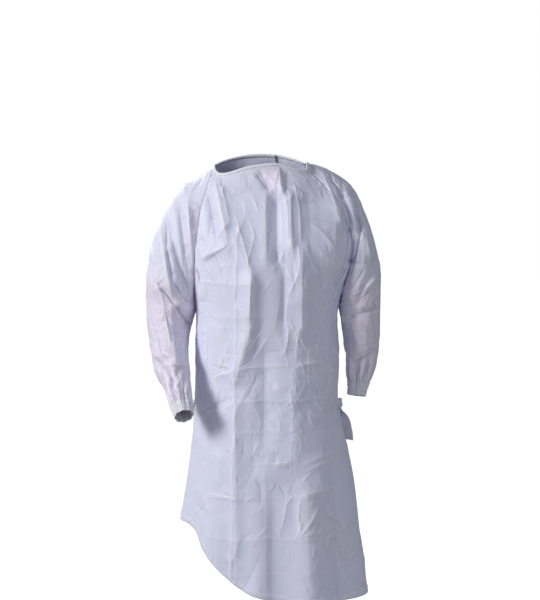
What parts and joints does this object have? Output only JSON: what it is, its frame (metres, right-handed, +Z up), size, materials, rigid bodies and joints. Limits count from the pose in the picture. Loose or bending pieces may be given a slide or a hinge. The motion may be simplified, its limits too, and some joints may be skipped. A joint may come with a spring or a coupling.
{
  "type": "isolation gown",
  "caption": "Isolation gown worn with no wearer: raglan sleeves, elastic cuffs, bound neck, open overlapping back with waist ties.",
  "frame": {"origin": "midway between the two points beside the neck where the gown rests on the wearer's shoulders", "axes": "+Z up along the gown's length, -Y to the wearer's front, +X to the wearer's left"},
  "size_m": [0.5397, 0.3508, 1.0132],
  "materials": {
    "coated_cloth": "white nonwoven with a thin film, satin sheen",
    "tape": "folded nonwoven tape, matte white",
    "elastic_cuff": "gathered elastic band, matte white"
  },
  "bodies": {
    "root": {"front": "coated_cloth", "back_right": "coated_cloth", "back_left": "coated_cloth", "sleeve_right": "coated_cloth", "sleeve_left": "coated_cloth", "cuff_right": "elastic_cuff", "cuff_left": "elastic_cuff", "neck_binding": "tape", "neck_tab": "tape", "waist_tie_right": "tape", "waist_tie_left": "tape", "tie_knot": "tape", "tie_end_outer": "tape", "tie_end_inner": "tape"}
  },
  "joints": []
}
